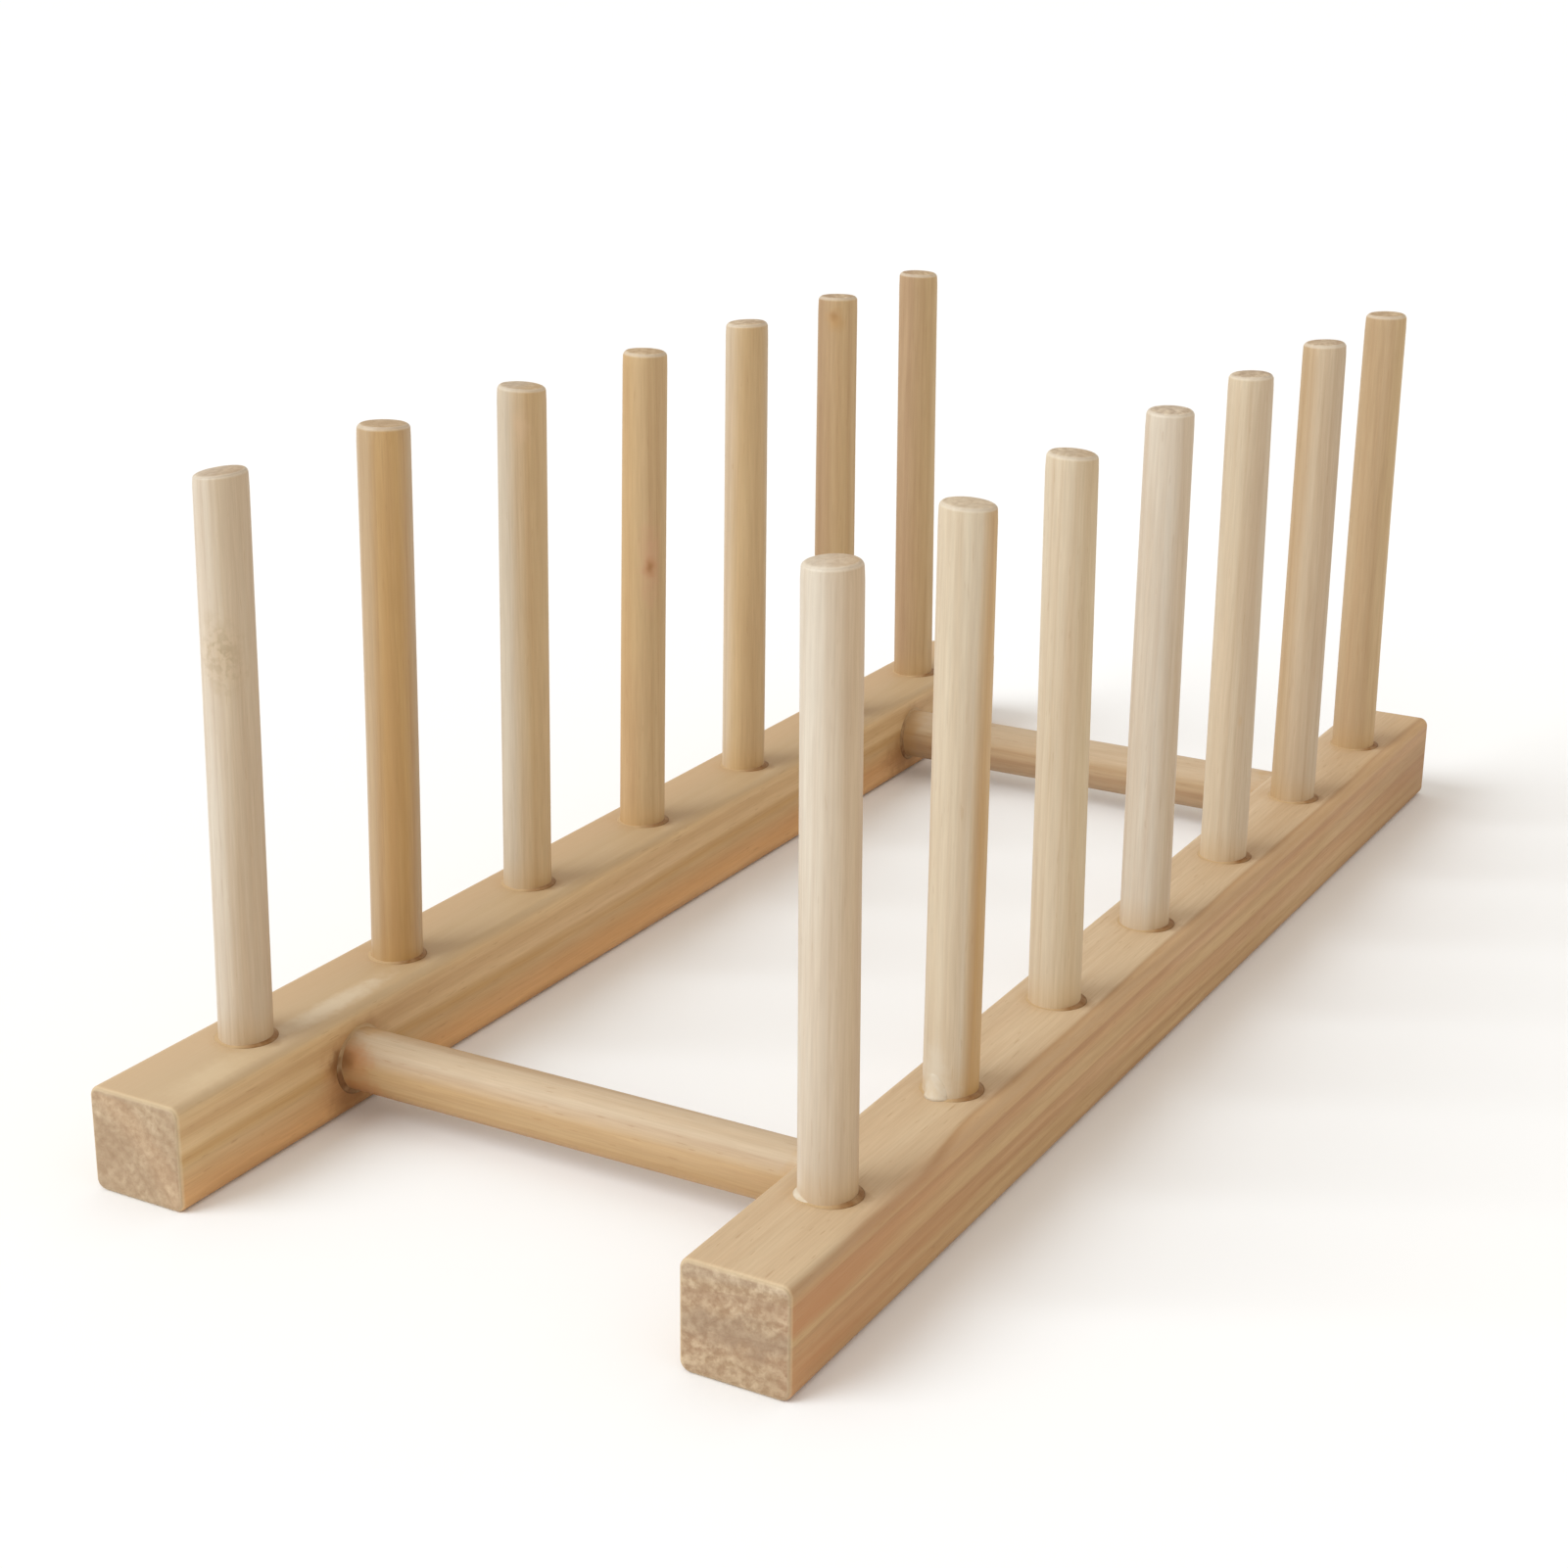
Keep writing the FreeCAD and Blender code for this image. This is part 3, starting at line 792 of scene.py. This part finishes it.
def dress_left_rail():
    wood = Pine(
        "left_rail_pine", "y", centre_of("left_rail"), LEFT_PITH, LEFT_BANDS, LEFT_RING,
        rings=0.35, lean=(0.006, 0.008), seed=21.0, wander=0.35,
    )
    t = wood.t
    x, y, z = t.split(wood.row)

    # The top is paler and greyer than the sides, with a cream streak by the first pegs.
    top = t.span(z, RAIL_TOP - 1.4, RAIL_TOP - 0.2)
    wood.stain(top, MELLOW, 0.84)
    wood.stain(t.times(top, t.fall(y, *PALE_FRONT)), SHELL, 0.45)
    wood.stain(t.times(top, t.fall(x, *BLUSHED_EDGE)), BLUSH, 0.22)
    wear_and_shade_rail(wood, "left_rail", 0.40)
    wood.add_stains(bar_entry("left", "front_crossbar"), FRONT_STREAKS + FRONT_GLUE_AND_SHADE_STAINS)
    wood.add_stains(bar_entry("left", "rear_crossbar"), REAR_GLUE_AND_SHADE_STAINS)
    wood.saw_ends(END_DARK, END_PALE, 0.80, fineness=0.80, contrast=0.28)
    # A painted highlight on the rims of the cut ends.
    wood.painted_rim_highlight(SAND, 0.45)
    finish_node("left_rail", wood.done())


# The brown line along the right rail's upper outer edge: how far it lies in from the outer side at
# the front and at the back, and the stretch of y in which it swings from the one to the other (mm).
LINE_FRONT = 0.3
LINE_BACK = 1.9
LINE_SWING = (-122.0, -98.0)

# Stretches of the right rail's outer side (mm): reddish blotches along y, and painted shade at the far
# end along y and z. The darker band on its cut ends: its height, and how far from there it is full and
# ends (mm).
RUSTY_FRONT = (-155.0, -95.0)
BROWN_FAR = (95.0, 165.0)
BROWN_FAR_TOP = (13.0, 17.5)
END_BAND_Z = 9.6
END_BAND = (0.8, 3.0)

STREAK_SLANT = 0.022    # rise of the right rail's streaks towards the front, per millimetre


def dress_right_rail():
    wood = Pine(
        "right_rail_pine", "y", centre_of("right_rail"), RIGHT_PITH, RIGHT_BANDS, RIGHT_RING,
        rings=0.50, lean=(0.004, 0.002), seed=34.0, wander=0.40,
    )
    wear_and_shade_rail(wood, "right_rail", 0.35)
    t = wood.t
    x, y, z = t.split(wood.row)
    outer_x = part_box("right_rail")[1].x / MM

    # The outer edge of the top: a thin brown arris up to the second peg, which swings inwards behind it,
    # where the rounding outside the line carries painted shade.
    waver = t.noise(t.vector("MULTIPLY", wood.row, (1.0, 0.10, 1.0)), 0.20)
    swing = t.span(y, *LINE_SWING, outer_x - LINE_FRONT, outer_x - LINE_BACK, curve="SMOOTHSTEP")
    edge = t.maths("SUBTRACT", t.maths("ADD", x, t.span(waver, 0.3, 0.7, -0.35, 0.35)), swing)
    upper = t.span(z, RAIL_TOP - 3.6, RAIL_TOP - 1.6)
    wood.stain(t.times(t.span(edge, -0.5, 0.5), upper), FAWN, 0.60)
    ridge = t.fall(t.maths("ABSOLUTE", edge), 0.1, 0.9)
    wood.stain(t.times(ridge, upper), BROWN, 0.45)

    # Slightly slanting streaks on the outer side, reddish brown ones near the front, and painted shade
    # low on the far end.
    outer = t.span(x, outer_x - 3.0, outer_x - 0.6)
    slanting = t.maths("ADD", z, t.maths("MULTIPLY", y, STREAK_SLANT))
    streaks = t.noise(t.join(t.maths("MULTIPLY", y, 0.02), slanting, 3.0), 0.34, detail=3.0)
    wood.stain(t.times(outer, t.span(streaks, 0.50, 0.66)), BROWN, 0.26)
    near = t.fall(y, *RUSTY_FRONT)
    blotches = t.noise(t.join(t.maths("MULTIPLY", y, 0.05), slanting, 9.0), 0.20)
    wood.stain(t.times(near, outer, t.span(blotches, 0.34, 0.58)), RUST, 0.90)
    # Painted shade on the lower far end of the outer side.
    far = t.times(t.span(y, *BROWN_FAR), t.fall(z, *BROWN_FAR_TOP))
    wood.stain(t.times(far, outer), BROWN, 0.50)
    wood.saw_ends(END_DARK, END_PALE, 0.74, fineness=0.66)

    # The cut ends have a darker middle, in a wavy band.
    from_band = t.maths("ABSOLUTE", t.maths("SUBTRACT", wood.ragged(z, 0.16, 2.0), END_BAND_Z))
    wood.stain(t.times(wood.cut_end, t.fall(from_band, *END_BAND)), END_DARK, 0.55)
    # A painted highlight on the rims of the cut ends.
    wood.painted_rim_highlight(SAND, 0.40)
    finish_node("right_rail", wood.done())


# ---------------------------------------------------------------- cross bars

BARS = {
    "front_crossbar": [
        (-7.0, FAWN), (-3.5, FAWN), (-0.8, TAN), (1.0, BISCUIT), (3.0, BISCUIT), (4.6, STONE),
        (7.0, STONE),
    ],
    "rear_crossbar": [(-7.0, DRAB), (-2.0, TAUPE), (2.0, TAUPE), (4.4, OAT), (7.0, STONE)],
}
BAR_PITH = Vector((0, 0.014, -0.046))   # from a bar's middle to the tree's centre line (m)
BAR_RING = 2.6                          # width of a growth ring (mm)
BAR_JOINT = (44.0, 50.5)                # from the middle to where its amber ends start and are full (mm)
BAR_SEED = 200


def dress_bars():
    for index, (node, bands) in enumerate(BARS.items()):
        wood = Pine(
            node + "_pine", "x", centre_of(node), BAR_PITH, bands, BAR_RING,
            rings=0.35, lean=(0.0, 0.008), seed=51.0 + index, wander=0.8, shade=0.95,
        )
        t = wood.t
        from_middle = t.maths("ABSOLUTE", t.split(wood.row)[0])
        wood.stain(t.span(wood.ragged(from_middle, 0.22, 4.0), *BAR_JOINT), AMBER, 0.60)
        if node == "front_crossbar":
            wood.add_stains(bar_entry("left", node), FRONT_BAR_STAINS_AND_SHADE)
        add_piece(node + "_wood", bar_mesh(node, BAR_SEED + index), wood.done(), "bar_pine", node)


# ---------------------------------------------------------------- glue

def glue_material(name, colour, deep, browned):
    """Dried glue. browned: whether it is brown where it is thick, on the sides that it was pulled to,
    which is partly painted shade at the pegs' feet, and dark umber round the cross bars, painted shade
    in the joint.
    """
    material = bpy.data.materials.new(name)
    material.use_nodes = True
    t = Tree(material.node_tree)
    row, _ = t.row_place()
    thick = t.noise(row, 0.55, detail=3.0)
    pimples = t.noise(row, 1.8)
    share = t.fall(thick, 0.35, 0.65)
    if browned:
        x, y, z = t.split(row)
        across = t.maths("SUBTRACT", x, t.maths("MULTIPLY", t.maths("SIGN", x), RAIL_X))
        by_peg = t.span(t.along(from_peg(t, across, y), PEG_GLUE_AND_SHADE_WAY), 1.2, 4.6)
        beside = t.maths("SUBTRACT", t.maths("ABSOLUTE", y), BAR_Y)
        beside = t.maths("MULTIPLY", beside, t.maths("SIGN", y))
        around_bar = t.join(0.0, beside, t.maths("SUBTRACT", z, BAR_Z))
        by_bar = t.span(t.along(around_bar, BAR_GLUE_AND_SHADE_WAY), -1.0, 6.0)
        by_bar = t.times(by_bar, t.span(t.noise(row, 0.35), 0.35, 0.65, 0.35, 1.0))
        on_top = t.span(z, RAIL_TOP - 2.0, RAIL_TOP - 1.0)
        # Brown where the glue is thick on each peg's +x side: glue, with painted shade at the peg's
        # foot.
        share = t.times(by_peg, on_top, t.span(thick, 0.30, 0.70, 1.0, 0.55))
        # Dark umber on the glue round the cross bars, to the front and below: painted shade in the
        # joint.
        colour = t.blend(t.times(by_bar, t.maths("SUBTRACT", 1.0, on_top)), colour, UMBER)
    mixed = t.blend(share, colour, deep)
    t.surface(mixed, t.span(pimples, 0.3, 0.7, 0.48, 0.70), t.times(pimples, 0.05))
    return material


GLUE_STEPS = 48         # sections round a dowel
GLUE_RISE_STEPS = 5     # points up the outside of a ring of glue
UNDER = 0.3             # how far glue reaches inside the dowel and the rail (mm)
GLUE_EDGE = 0.01        # height of its outer edge (mm)
GLUE_TOP_WIDTH = 0.03   # least width of its top (mm)
GLUE_SEED = 300

# How wide and how tall a ring of glue is (mm): never less than least, usual on average, more or less
# by up to about uneven at random, and more by pulled on the side that it was pulled to.
GlueSize = namedtuple("GlueSize", "least usual uneven pulled")

GLUE_WIDTH = GlueSize(0.54, 0.56, 0.20, 0.50)
GLUE_HEIGHT = GlueSize(0.05, 0.09, 0.12, 0.34)


def glue_amount(size, waver, heavy):
    return max(size.least, size.usual + size.uneven * waver + size.pulled * heavy)


def glue_ring(origin, out, radius, pull, chance):
    """Sections of the glue squeezed out round a dowel, most on the side that pull faces. Millimetres."""
    side = out.orthogonal().normalized()
    other = out.cross(side)
    width = Wobble(chance, waves=(1, 2, 3, 5))
    climb = Wobble(chance, waves=(1, 2, 4))
    sections = []
    for step in range(GLUE_STEPS):
        angle = TURN * step / GLUE_STEPS
        way = side * math.cos(angle) + other * math.sin(angle)
        heavy = max(0.0, way.dot(pull))
        broad = glue_amount(GLUE_WIDTH, width.at(angle), heavy)
        tall = glue_amount(GLUE_HEIGHT, climb.at(angle), heavy)
        outline = [(-UNDER, -UNDER), (broad, GLUE_EDGE)]
        for part in range(1, GLUE_RISE_STEPS + 1):
            share = part / GLUE_RISE_STEPS
            reach = max(GLUE_TOP_WIDTH, broad * (1 - share) ** 1.7)
            outline.append((reach, GLUE_EDGE + (tall - GLUE_EDGE) * share))
        outline.append((-UNDER, tall))
        sections.append([
            (origin + way * (radius + reach) + out * height) * MM for reach, height in outline
        ])
    return sections


# A drop of pale glue on a peg: the way it faces (degrees from +x), half its width and how far its
# top leans round the peg (degrees), its height, its thickness, and its foot on the rail (mm).
Drop = namedtuple("Drop", "face spread twist tall thick foot")

DROPS = {
    "right_peg_1": Drop(-140, 40, 0, 0.9, 0.12, 0.7),
    "right_peg_2": Drop(-98, 28, 3, 4.4, 0.12, 1.4),
}
DROP_STEPS = 24         # sections across a drop
DROP_RISE_STEPS = 10    # points up it
DROP_SIDE = 0.49        # nearly a quarter turn, so that its sides keep a little thickness
DROP_SINK = 0.05        # how far its top end sinks into the peg (mm)


def glue_drop(origin, radius, drop):
    """Sections of a drop that ran down an upright peg and set at its foot. Millimetres."""
    sections = []
    for step in range(DROP_STEPS + 1):
        along = 2 * step / DROP_STEPS - 1
        swell = math.cos(DROP_SIDE * math.pi * along)
        foot = drop.foot * swell ** 0.9
        tall = drop.tall * swell ** 0.5
        outline = [(-UNDER, -UNDER), (foot, 0.0)]
        for part in range(1, DROP_RISE_STEPS + 1):
            share = part / DROP_RISE_STEPS
            belly = drop.thick * swell ** 1.6 * math.sin(math.pi * share ** 0.7) ** 1.4
            outline.append((foot * (1 - share) ** 3 + belly - DROP_SINK * share, tall * share))
        outline.append((-UNDER, tall))
        section = []
        for reach, height in outline:
            angle = math.radians(drop.face + drop.spread * along - drop.twist * height / drop.tall)
            way = Vector((math.cos(angle), math.sin(angle), 0))
            section.append((origin + way * (radius + reach) + UP * height) * MM)
        sections.append(section)
    return sections


def glue_mesh(name, shapes, closed):
    """One mesh of several shapes, each a list of sections that closes on itself or is capped."""
    points = []
    faces = []
    for sections in shapes:
        first = len(points)
        size = len(sections[0])
        count = len(sections)
        for section in sections:
            points.extend(section)
        for step in range(count if closed else count - 1):
            here = first + step * size
            there = first + (step + 1) % count * size
            for part in range(size):
                after = (part + 1) % size
                faces.append((here + part, there + part, there + after, here + after))
        if not closed:
            last = first + (count - 1) * size
            faces.append(tuple(range(first, first + size)))
            faces.append(tuple(range(last + size - 1, last - 1, -1)))
    return smooth_mesh(name, points, faces)


def add_glue():
    amber = glue_material("amber_glue", DRY_GLUE, GLUE_AND_SHADE_BROWN, browned=True)
    milky = glue_material("milky_glue", MILKY_GLUE, CLOUDY_GLUE, browned=False)
    for index, (side, inwards) in enumerate((("left", 1), ("right", -1))):
        chance = random.Random(GLUE_SEED + index)
        rings = []
        for node in (name for name in PEGS if name.startswith(side)):
            centre = centre_of(node) / MM
            origin = Vector((centre.x, centre.y, RAIL_TOP))
            rings.append(glue_ring(origin, UP, radius_of(node), PEG_GLUE_AND_SHADE_WAY, chance))
            if node in DROPS:
                sections = glue_drop(origin, radius_of(node), DROPS[node])
                drop = glue_mesh(node + "_drop", [sections], closed=False)
                add_piece(node + "_drop", drop, milky, None)
        for bar in BARS:
            out = Vector((inwards, 0, 0))
            rings.append(glue_ring(bar_entry(side, bar), out, radius_of(bar), BAR_GLUE_AND_SHADE_WAY, chance))
        add_piece(side + "_glue", glue_mesh(side + "_glue", rings, closed=True), amber, None)


# ---------------------------------------------------------------- stage

STAGE_RADIUS = 6.0
FLOOR_COLOUR = (0.93, 0.945, 0.97, 1)
FLOOR_ROUGHNESS = 0.9

SUN_FROM = Vector((-0.618, -0.791, 0.84))
SUN_STRENGTH = 1.98
SUN_SPREAD = math.radians(40)
SUN_COLOUR = (0.90, 0.96, 1.0)
ROOM_COLOUR = (1.0, 0.93, 0.84, 1)
ROOM_STRENGTH = 0.77


def make_floor():
    bpy.ops.mesh.primitive_circle_add(vertices=96, radius=STAGE_RADIUS, fill_type="NGON")
    floor = bpy.context.object
    floor.name = "floor"
    material = bpy.data.materials.new("pale_floor")
    material.use_nodes = True
    shader = material.node_tree.nodes["Principled BSDF"]
    shader.inputs["Base Color"].default_value = FLOOR_COLOUR
    shader.inputs["Roughness"].default_value = FLOOR_ROUGHNESS
    floor.data.materials.append(material)


def make_backdrop():
    """A white dome that is seen, but lights nothing and casts no shadow."""
    bpy.ops.mesh.primitive_uv_sphere_add(segments=64, ring_count=32, radius=STAGE_RADIUS)
    dome = bpy.context.object
    dome.name = "backdrop"
    material = bpy.data.materials.new("white_backdrop")
    material.use_nodes = True
    t = Tree(material.node_tree)
    glow = t.add("ShaderNodeEmission")
    output = t.add("ShaderNodeOutputMaterial")
    t.feed(output.inputs["Surface"], glow.outputs[0])
    dome.data.materials.append(material)
    dome.visible_diffuse = False
    dome.visible_glossy = False
    dome.visible_transmission = False
    dome.visible_shadow = False


def make_light():
    sun = bpy.data.lights.new("window", "SUN")
    sun.energy = SUN_STRENGTH
    sun.angle = SUN_SPREAD
    sun.color = SUN_COLOUR
    window = bpy.data.objects.new("window", sun)
    window.rotation_mode = "QUATERNION"
    window.rotation_quaternion = (-SUN_FROM).to_track_quat("-Z", "Y")
    bpy.context.scene.collection.objects.link(window)
    room = bpy.data.worlds.new("room")
    room.use_nodes = True
    background = room.node_tree.nodes["Background"]
    background.inputs["Color"].default_value = ROOM_COLOUR
    background.inputs["Strength"].default_value = ROOM_STRENGTH
    bpy.context.scene.world = room
    bpy.context.scene.view_settings.view_transform = "Standard"


# ---------------------------------------------------------------- camera

CAMERA_PLACE = Vector((0.2402, -0.4754, 0.2221))
CAMERA_AIM = Vector((-0.0165, -0.0132, 0.0399))
CAMERA_ROLL = math.radians(0.59)
LENS = 61.4
SENSOR = 36.0


def make_camera():
    data = bpy.data.cameras.new("camera")
    data.lens = LENS
    data.sensor_width = SENSOR
    camera = bpy.data.objects.new("camera", data)
    camera.location = CAMERA_PLACE
    camera.rotation_mode = "QUATERNION"
    aim = (CAMERA_AIM - CAMERA_PLACE).to_track_quat("-Z", "Y")
    camera.rotation_quaternion = aim @ Quaternion((0, 0, 1), CAMERA_ROLL)
    bpy.context.scene.collection.objects.link(camera)
    bpy.context.scene.camera = camera


dress_left_rail()
dress_right_rail()
dress_pegs()
dress_bars()
add_glue()
make_floor()
make_backdrop()
make_light()
make_camera()
